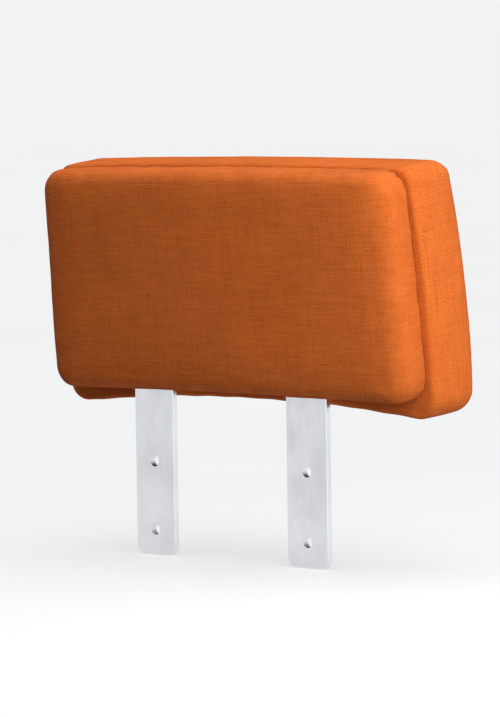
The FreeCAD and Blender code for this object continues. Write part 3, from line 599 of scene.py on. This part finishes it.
def weave_material(name, warp, weft, dark):
    """Plain weave of slubby wool yarns: every second crossing shows the warp, the others the weft.

    The "weave" attribute holds the place along both yarns in metres, and how worn the cloth is.
    """
    s = Shader(name)
    split = s.add("SeparateXYZ")
    s.put(split.inputs[0], s.add("Attribute", attribute_name="weave").outputs["Vector"])
    wander = s.spread(s.noise(s.vector(split.outputs[0], split.outputs[1], 0), 45, 1.0),
                      0.3, 0.7, -0.35, 0.35)
    wander_across = s.spread(s.noise(s.vector(split.outputs[1], split.outputs[0], 3.7), 52, 1.0),
                             0.3, 0.7, -0.35, 0.35)
    a = s.math("ADD", s.math("DIVIDE", split.outputs[0], YARN), wander)
    b = s.math("ADD", s.math("DIVIDE", split.outputs[1], YARN), wander_across)
    column, row = s.math("FLOOR", a), s.math("FLOOR", b)
    across = s.math("SUBTRACT", 1, s.math("POWER", s.math("ABSOLUTE", s.math(
        "SUBTRACT", s.math("MULTIPLY", s.math("FRACT", a), 2), 1)), 2.0))
    up = s.math("SUBTRACT", 1, s.math("POWER", s.math("ABSOLUTE", s.math(
        "SUBTRACT", s.math("MULTIPLY", s.math("FRACT", b), 2), 1)), 2.0))
    weft_over = s.math("FLOORED_MODULO", s.math("ADD", column, row), 2)
    warp_high = s.math("MULTIPLY", across, s.math("MULTIPLY_ADD", up, 0.5, 0.5))
    weft_high = s.math("MULTIPLY", up, s.math("MULTIPLY_ADD", across, 0.5, 0.5))
    blend = s.add("Mix", data_type="FLOAT")
    s.put(blend.inputs[0], weft_over)
    s.put(blend.inputs[2], warp_high)
    s.put(blend.inputs[3], weft_high)
    high = blend.outputs[0]
    # slubs: each yarn has its own shade that drifts along it
    along_warp = s.math("MULTIPLY", split.outputs[1], 55)
    along_weft = s.math("MULTIPLY", split.outputs[0], 42)
    warp_slub = s.noise(s.vector(s.math("MULTIPLY", column, 7.31), along_warp, 1.3), 1.0, 3.0, 0.65)
    weft_slub = s.noise(s.vector(along_weft, s.math("MULTIPLY", row, 5.77), 8.9), 1.0, 3.0, 0.65)
    warp_color = s.mix(s.spread(warp_slub, 0.2, 0.5), dark, warp)
    weft_color = s.mix(s.spread(weft_slub, 0.3, 0.6), dark, weft)
    yarn = s.mix(weft_over, warp_color, weft_color)
    # painted shade: the low places between the crossings are darkened by up to 42 percent; cloudy
    # and fuzz then vary the tone at random
    shade = s.math("MULTIPLY_ADD", s.math("POWER", high, 0.6), 0.42, 0.58)
    cloudy = s.spread(s.noise(s.place(), 22, 3.0), 0.3, 0.7, 0.94, 1.05)
    fuzz = s.noise(s.place(), 2600, 2.0, 0.7)
    shade = s.math("MULTIPLY", shade, cloudy)
    shade = s.math("MULTIPLY", shade, s.spread(fuzz, 0.3, 0.7, 0.93, 1.07))
    patches = s.spread(s.noise(s.place(), 130, 3.0), 0.42, 0.7, 0, 0.55)
    worn = tuple(min(1, c * 1.12 + 0.012) for c in warp[:3]) + (1,)
    yarn = s.mix(s.math("MULTIPLY", split.outputs[2], patches), yarn, worn)
    # the yarn colour times that painted shade and random tone
    color = s.mix(1.0, yarn, s.vector(shade, shade, shade), "MULTIPLY")
    height = s.math("ADD", high, s.math("MULTIPLY", fuzz, 0.35))
    slubs = s.math("MULTIPLY", s.math("ADD", warp_slub, weft_slub), 0.4)
    slub_height = s.math("ADD", height, slubs)
    normal = s.bump(slub_height, 0.32 * MM, 0.85)
    return s.finish(color, s.spread(fuzz, 0.3, 0.7, 0.82, 0.97), normal, Sheen_Weight=0.05,
                    Sheen_Roughness=0.5, Sheen_Tint=FUZZ_TINT, Specular_IOR_Level=0.12)


def thread_material(color):
    """Twisted sewing thread."""
    s = Shader("sewing_thread")
    twist = s.noise(s.place(), 3500, 2.0)
    shade = s.mix(s.spread(twist, 0.3, 0.7), tuple(c * 0.72 for c in color[:3]) + (1,), color)
    return s.finish(shade, s.spread(twist, 0.3, 0.7, 0.65, 0.85), s.bump(twist, 0.08 * MM, 0.8),
                    Sheen_Weight=0.05, Sheen_Tint=FUZZ_TINT, Specular_IOR_Level=0.15)


def metal_material(name, color, rough, grain, smudge=0.05, streak=(260, 260, 6)):
    """Metal with fine drawn lines along z, faint smudges and a roughness that drifts."""
    s = Shader(name)
    lines = s.noise(s.place(streak), grain, 3.0, 0.6)
    smudges = s.noise(s.place(), 38, 4.0, 0.6)
    tone = s.mix(s.spread(smudges, 0.35, 0.75), color, tuple(c * 0.93 for c in color[:3]) + (1,))
    roughness = s.math("ADD", s.spread(smudges, 0.3, 0.75, rough - smudge, rough + smudge),
                       s.spread(lines, 0.3, 0.7, -0.03, 0.03))
    return s.finish(tone, roughness, s.bump(lines, 0.02 * MM, 0.25), Metallic=1.0)


def plastic_material(name, color, rough, grain=900, depth=0.05 * MM):
    """Moulded plastic or rubber with a fine texture."""
    s = Shader(name)
    texture = s.noise(s.place(), grain, 3.0, 0.6)
    tone = s.mix(s.spread(s.noise(s.place(), 60, 2.0), 0.35, 0.7), color,
                 tuple(min(1, c * 1.25 + 0.004) for c in color[:3]) + (1,))
    return s.finish(tone, s.spread(texture, 0.3, 0.7, rough - 0.08, rough + 0.08),
                    s.bump(texture, depth, 0.5))


def wood_material(name, light, dark, stretch, scale, plies=0.0):
    """Wood grain stretched along one axis, with glue lines across the thickness for plywood."""
    s = Shader(name)
    grain = s.noise(s.place(stretch), scale, 5.0, 0.6)
    color = s.mix(s.spread(grain, 0.35, 0.65), light, dark)
    if plies:
        split = s.add("SeparateXYZ")
        s.put(split.inputs[0], s.place())
        line = s.math("PINGPONG", s.math("DIVIDE", split.outputs[1], plies), 0.5)
        color = s.mix(s.spread(line, 0.0, 0.12, 0.6, 0.0), color, dark)
    return s.finish(color, s.spread(grain, 0.3, 0.7, 0.6, 0.8), s.bump(grain, 0.15 * MM, 0.5))


def fibre_material(name, light, dark, scale):
    """Foam cells or wadding fibres."""
    s = Shader(name)
    cells = s.noise(s.place(), scale, 4.0, 0.7)
    color = s.mix(s.spread(cells, 0.3, 0.7), dark, light)
    return s.finish(color, 0.95, s.bump(cells, 0.4 * MM, 0.8), Sheen_Weight=0.2)


# ---------------------------------------------------------------- relief of the cloth


def bell(distance, width):
    """1 at no distance, falling smoothly to 0 over about twice the width."""
    return np.exp(-(distance / width) ** 2)


def wobble(points, scale, seed):
    """Smooth noise from -1 to 1 at points, the same on every run."""
    shift = Vector((seed * 17.3, seed * 5.1, seed * 29.7))
    return np.array([noise.noise(Vector(p) * scale + shift) for p in points])


def relief(skin):
    """Presses seams, staple pulls, pleats and slight unevenness into a block's skin."""
    normals = skin.normals()
    place, along = skin.section_place, skin.edge_place
    fold = LIP + 1.5 * MM
    rise = sum(high * wobble(skin.co, scale, seed) for high, scale, seed in UNEVEN)
    ring = along * 2 * math.pi / STAPLE_PITCH
    pull = STAPLE_PULL * (0.5 + 0.5 * np.cos(ring))
    rise -= pull * bell(place - fold, STAPLE_REACH) * (place < skin.total)
    if skin.seam:
        gather = 1 + 0.3 * wobble(np.stack([along, place, along * 0], 1), 190, 3)
        rise -= SEAM_DEPTH * bell(place - skin.seam, SEAM_WIDE) * gather
        for at, wide, high, gathers in SEAM_RIDGES:
            rise += high * bell(place - skin.seam - at, wide) * (gather if gathers else 1)
    else:
        rise += pleats(skin, along, place)
    skin.co += normals * (rise * (place > LIP * 0.6))[:, None]


def pleats(skin, along, place):
    """Folds where flat cloth is gathered round the four corners, deepest beside the lip."""
    c, r = skin.columns, skin.rows
    total = np.zeros(len(along))
    for corner in (0, c, c + r, 2 * c + r):
        for offset, reach in PLEATS:
            apart = np.abs(along - skin.along[corner] - offset)
            apart = np.minimum(apart, skin.along[-1] - apart)
            total -= PLEAT_DEPTH * bell(apart, PLEAT_WIDE) * bell(np.maximum(place - LIP, 0), reach)
    return total * (place < skin.total)


# ---------------------------------------------------------------- thread, tubes and slits


def tube_rings(path, radius, sides, lift):
    """Points of a tube along an open path; lift is a direction that isn't along it."""
    tangent = np.gradient(path, axis=0)
    tangent /= np.linalg.norm(tangent, axis=1)[:, None]
    across = np.cross(tangent, lift)
    across /= np.linalg.norm(across, axis=1)[:, None]
    out = np.cross(across, tangent)
    turn = np.linspace(0, 2 * math.pi, sides, endpoint=False)
    radius = np.broadcast_to(radius, len(path))
    return (path[:, None] + radius[:, None, None] * (np.cos(turn)[None, :, None] * across[:, None]
                                                     + np.sin(turn)[None, :, None] * out[:, None]))


def stitch_row(name, path, normals):
    """A row of stitches along a closed path on cloth: each dips in at both ends."""
    path = np.concatenate([path, path[:1]])
    normals = np.concatenate([normals, normals[:1]])
    total = lengths(path)[-1]
    count = int(total / (STITCH + STITCH_GAP))
    pitch = total / count
    along = lengths(path)
    points, faces = [], []
    steps, sides = 7, 8
    bow = np.array([-0.9, -0.05, 0.55, 0.7, 0.55, -0.05, -0.9]) * THREAD
    thick = np.array([0.55, 0.95, 1.0, 1.0, 1.0, 0.95, 0.55]) * THREAD
    for k in range(count):
        places = k * pitch + np.linspace(0, STITCH, steps)
        middle = np.stack([np.interp(places, along, path[:, a]) for a in range(3)], 1)
        lift = np.array([np.interp(places[3], along, normals[:, a]) for a in range(3)])
        lift /= np.linalg.norm(lift)
        rings = tube_rings(middle + lift * bow[:, None], thick, sides, lift)
        base = len(points)
        points.extend(rings.reshape(-1, 3))
        for r in range(steps - 1):
            for q in range(sides):
                a, b = base + r * sides + q, base + r * sides + (q + 1) % sides
                faces.append([a, b, b + sides, a + sides])
        faces.append([base + q for q in range(sides)][::-1])
        faces.append([base + (steps - 1) * sides + q for q in range(sides)])
    piece = mesh_object(name, np.array(points) @ TO_ROW.T, faces)
    return piece


def closed_tube(name, path, radius, sides, lift):
    """A tube round a closed path, with weave coordinates that follow it."""
    count = len(path)
    wrapped = np.concatenate([path[-2:], path, path[:2]])
    rings = tube_rings(wrapped, radius, sides, lift)[2:-2]
    along = lengths(np.concatenate([path, path[:1]]))
    girth = 2 * math.pi * radius / sides
    faces, uvs = [], []
    for k in range(count):
        for q in range(sides):
            a, b = k * sides + q, k * sides + (q + 1) % sides
            c, d = ((k + 1) % count) * sides + (q + 1) % sides, ((k + 1) % count) * sides + q
            faces.append([a, b, c, d])
            uvs.append([(along[k], q * girth), (along[k], (q + 1) * girth),
                        (along[k + 1], (q + 1) * girth), (along[k + 1], q * girth)])
    return mesh_object(name, rings.reshape(-1, 3) @ TO_ROW.T, faces, uvs)


def slit_outline(bar_box, room, count):
    """A rounded rectangle round a bar where it enters the rear panel: (x, y) in the pad's frame."""
    turn = PAD_TURN.transposed()
    level = PAD_ZERO + BLOCKS["rear"]["level"]
    low, high = bar_box
    front = (turn @ Vector((0, low.y, level + 10 * MM))).y
    rear = (turn @ Vector((0, high.y, level))).y
    x0, x1 = low.x - room, high.x + room
    y0, y1 = front - room * 0.55, rear + room * 0.55
    radius = min(SLIT_CORNER, (y1 - y0) / 2 * 0.95)
    centres = [(x1 - radius, y1 - radius, 0), (x0 + radius, y1 - radius, 1),
               (x0 + radius, y0 + radius, 2), (x1 - radius, y0 + radius, 3)]
    points = []
    for cx, cy, quarter in centres:
        turns = (quarter + np.linspace(0, 1, 9)) * math.pi / 2
        points.extend(np.stack([cx + radius * np.cos(turns), cy + radius * np.sin(turns)], 1))
    points = np.array(points + points[:1])
    return resample(points, np.linspace(0, lengths(points)[-1], count + 1))[:-1]


def cut_slits(skin_piece, outlines):
    """Cuts a slit through the rear cover's underside for each bar."""
    for k, ring in enumerate(outlines):
        low = PAD_ZERO + BLOCKS["rear"]["level"] - CUT_BELOW
        count = len(ring)
        points = [(x, y, z) for z in (low, low + CUT_HIGH) for x, y in ring]
        faces = [[q, (q + 1) % count, count + (q + 1) % count, count + q] for q in range(count)]
        faces += [list(range(count))[::-1], list(range(count, 2 * count))]
        cutter = mesh_object("cutter", np.array(points) @ TO_ROW.T, faces)
        boolean = skin_piece.modifiers.new("slit", "BOOLEAN")
        boolean.object = cutter
        boolean.operation = "DIFFERENCE"
        boolean.solver = "EXACT"
        apply_modifiers(skin_piece)
        bpy.data.objects.remove(cutter)


def underside(skin, ring):
    """Points of the skin straight above (x, y) places on its underside."""
    tree = KDTree(len(skin.co))
    normals = skin.normals()
    facing_down = [k for k in range(len(skin.co)) if normals[k][2] < -0.3]
    for k in facing_down:
        tree.insert((skin.co[k][0], skin.co[k][1], 0), k)
    tree.balance()
    points = []
    for x, y in ring:
        found = tree.find_n((x, y, 0), 4)
        weight = np.array([1 / (d + 0.1 * MM) for _, _, d in found])
        level = (np.array([skin.co[i][2] for _, i, _ in found]) * weight).sum() / weight.sum()
        points.append((x, y, level))
    return np.array(points)


# ---------------------------------------------------------------- the upholstered blocks


def thicken(piece):
    """Gives a skin the thickness of cloth, inwards."""
    solid = piece.modifiers.new("cloth", "SOLIDIFY")
    solid.thickness = CLOTH
    solid.offset = -1
    return apply_modifiers(piece)


def shaped_skin(name, seam_turn, pins):
    """A block's skin, swollen by the cloth simulation and then given its relief."""
    block = BLOCKS[name]
    skin = Block(block, COLUMNS, ROWS, seam_turn=seam_turn, shrink=block["start"])
    before, after = swell(block, pins)
    follow(skin, before, after, block["swell"])
    relief(skin)
    return skin


def build_front_cushion(cloth, thread):
    """The deep cushion that the head rests on, with a seam and a row of stitches round its face."""
    def held(p):
        return p[1] > SEAM_FRONT - HELD

    skin = shaped_skin("front", SEAM_TURN, held)
    piece = thicken(skin.mesh("front_cushion"))
    piece.data.materials.append(cloth)
    row = int(np.argmin(np.abs(skin.places - skin.seam - STITCH_ROW)))
    picks = [skin.vertex(row, k) for k in range(skin.edge_count)]
    stitches = stitch_row("front_stitching", skin.co[picks], skin.normals()[picks])
    stitches.data.materials.append(thread)
    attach(piece, "pad")
    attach(stitches, "pad")
    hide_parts("front_cover", "front_wadding", "front_foam")


def build_rear_panel(cloth):
    """The thinner panel at the back, with bound slits underneath that the bars go into."""
    def held(p):
        return p[1] < SEAM_REAR + HELD

    skin = shaped_skin("rear", None, held)
    piece = thicken(skin.mesh("rear_panel"))
    outlines = [slit_outline(bar_box, SLIT_ROOM, SLIT_COUNT) for bar_box in BAR_BOXES]
    cut_slits(piece, outlines)
    piece.data.materials.append(cloth)
    for side, bar_box in zip(("left", "right"), BAR_BOXES):
        ring = slit_outline(bar_box, BINDING_ROOM, BINDING_COUNT)
        path = underside(skin, ring) - np.array([0, 0, BINDING_SINK])
        binding = closed_tube("slit_binding_" + side, path, BINDING, BINDING_SIDES,
                              np.array([0, 0, 1.0]))
        binding.data.materials.append(cloth)
        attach(binding, "pad")
    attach(piece, "pad")
    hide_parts("rear_cover", "rear_wadding")


# ---------------------------------------------------------------- materials of the CAD nodes


def paint_nodes():
    """A procedural material for every CAD node, by its record slot."""
    finishes = {
        "bar_metal": metal_material("bar_metal", (0.82, 0.84, 0.87, 1), 0.22, 6),
        "zinc_steel": metal_material("zinc_steel", (0.62, 0.63, 0.62, 1), 0.38, 9, 0.08,
                                     (60, 60, 60)),
        "spring_steel": metal_material("spring_steel", (0.20, 0.22, 0.27, 1), 0.3, 7),
        "plywood": wood_material("plywood", (0.60, 0.42, 0.24, 1), (0.38, 0.23, 0.11, 1),
                                 (3, 40, 40), 9, plies=1.4 * MM),
        "hardboard": wood_material("hardboard", (0.28, 0.17, 0.09, 1), (0.17, 0.10, 0.05, 1),
                                   (30, 30, 30), 20),
        "pine": wood_material("pine", (0.66, 0.46, 0.25, 1), (0.45, 0.28, 0.13, 1), (3, 40, 60), 8),
        "nylon": plastic_material("nylon", (0.012, 0.012, 0.014, 1), 0.5),
        "brake_plastic": plastic_material("brake_plastic", (0.62, 0.62, 0.58, 1), 0.35, 500,
                                          0.02 * MM),
        "rubber": plastic_material("rubber", (0.010, 0.010, 0.011, 1), 0.75, 1400, 0.08 * MM),
        "foam": fibre_material("foam", (0.80, 0.72, 0.48, 1), (0.60, 0.52, 0.32, 1), 900),
        "wadding": fibre_material("wadding", (0.85, 0.85, 0.84, 1), (0.66, 0.66, 0.66, 1), 260),
        "cover_fabric": fibre_material("hidden_cloth", (0.50, 0.14, 0.03, 1), (0.36, 0.09, 0.02, 1),
                                       700),
    }
    for part in frame["record"]["subparts"]:
        for slot in nodes[part["node"]].material_slots:
            slot.material = finishes[part["material_slot"]]


# ---------------------------------------------------------------- floor, light and camera


def build_stage(floor_level):
    """A plain pale floor and a pale world."""
    mesh = bpy.data.meshes.new("floor")
    rings, spokes = 26, 72
    points = [(0, 0, floor_level)]
    for k in range(1, rings + 1):
        radius = FLOOR_REACH * (k / rings) ** 2.2
        turns = np.linspace(0, 2 * math.pi, spokes, endpoint=False)
        points += [(radius * math.cos(t), radius * math.sin(t), floor_level) for t in turns]
    faces = [[0, 1 + q, 1 + (q + 1) % spokes] for q in range(spokes)]
    for k in range(rings - 1):
        for q in range(spokes):
            a, b = 1 + k * spokes + q, 1 + k * spokes + (q + 1) % spokes
            faces.append([a, a + spokes, b + spokes, b])
    mesh.from_pydata(points, [], faces)
    floor = bpy.data.objects.new("floor", mesh)
    bpy.context.scene.collection.objects.link(floor)
    s = Shader("floor")
    soft = s.noise(s.place(), 3.0, 2.0)
    tone = s.mix(s.spread(soft, 0.3, 0.7), (0.24, 0.24, 0.244, 1), (0.25, 0.25, 0.25, 1))
    mesh.materials.append(s.finish(tone, s.spread(soft, 0.3, 0.7, 0.55, 0.6),
                                   Specular_IOR_Level=0.2, Emission_Color=(1, 1, 1, 1),
                                   Emission_Strength=FLOOR_GLOW))
    floor.visible_diffuse = False

    world = bpy.data.worlds.new("studio")
    bpy.context.scene.world = world
    world.use_nodes = True
    tree = world.node_tree
    tree.nodes.clear()
    around = tree.nodes.new("ShaderNodeTexCoord")
    total = WORLD_BASE
    for direction, start, end, amount in WORLD_LOBES:
        toward = tree.nodes.new("ShaderNodeVectorMath")
        toward.operation = "DOT_PRODUCT"
        tree.links.new(around.outputs["Generated"], toward.inputs[0])
        toward.inputs[1].default_value = Vector(direction).normalized()
        lobe = tree.nodes.new("ShaderNodeMapRange")
        lobe.interpolation_type = "SMOOTHSTEP"
        for key, number in zip(("From Min", "From Max", "To Max"), (start, end, amount)):
            lobe.inputs[key].default_value = number
        tree.links.new(toward.outputs["Value"], lobe.inputs["Value"])
        add = tree.nodes.new("ShaderNodeMath")
        if total is WORLD_BASE:
            add.inputs[0].default_value = WORLD_BASE
        else:
            tree.links.new(total, add.inputs[0])
        tree.links.new(lobe.outputs[0], add.inputs[1])
        total = add.outputs[0]
    lit, seen = (tree.nodes.new("ShaderNodeBackground") for _ in range(2))
    lit.inputs["Color"].default_value = WORLD_TINT
    tree.links.new(total, lit.inputs["Strength"])
    seen.inputs["Color"].default_value = BACKDROP
    seen.inputs["Strength"].default_value = BACKDROP_STRENGTH
    ray, mix = tree.nodes.new("ShaderNodeLightPath"), tree.nodes.new("ShaderNodeMixShader")
    out = tree.nodes.new("ShaderNodeOutputWorld")
    tree.links.new(ray.outputs["Is Camera Ray"], mix.inputs[0])
    tree.links.new(lit.outputs[0], mix.inputs[1])
    tree.links.new(seen.outputs[0], mix.inputs[2])
    tree.links.new(mix.outputs[0], out.inputs[0])


def soft_light(name, place, aim, wide, power, color):
    """A square soft box at place that faces aim."""
    light = bpy.data.lights.new(name, "AREA")
    light.shape = "SQUARE"
    light.size = wide
    light.energy = power
    light.color = color
    box = bpy.data.objects.new(name, light)
    box.location = place
    box.rotation_euler = (Vector(aim) - Vector(place)).to_track_quat("-Z", "Y").to_euler()
    bpy.context.scene.collection.objects.link(box)


def build_camera(low, high):
    """The camera stands where the viewer did: behind the sitter, to the right and just above."""
    data = bpy.data.cameras.new("camera")
    data.sensor_width = CAMERA_FRAME
    data.lens = CAMERA_LENS
    data.clip_start, data.clip_end = 0.05, 100
    camera = bpy.data.objects.new("camera", data)
    camera.location = CAMERA_PLACE
    middle = Vector(((low.x + high.x) / 2, (low.y + high.y) / 2, (low.z + high.z) / 2))
    turn = (middle - Vector(CAMERA_PLACE)).to_track_quat("-Z", "Y").to_matrix()
    camera.rotation_euler = (turn @ Matrix.Rotation(CAMERA_ROLL, 3, "Z")).to_euler()
    bpy.context.scene.collection.objects.link(camera)
    bpy.context.scene.camera = camera


# ---------------------------------------------------------------- build everything

cloth = weave_material("cover_cloth", WARP, WEFT, SLUB)
thread = thread_material(THREAD_COLOR)
paint_nodes()
build_front_cushion(cloth, thread)
build_rear_panel(cloth)
low, high = (Vector(corner) for corner in cad_bounds)
build_stage(low.z)
build_camera(low, high)
middle = (low + high) / 2
soft_light("key", middle + Vector(KEY_OFFSET), middle, KEY_WIDE, KEY_POWER, KEY_COLOR)
bpy.context.scene.view_settings.view_transform = "Standard"
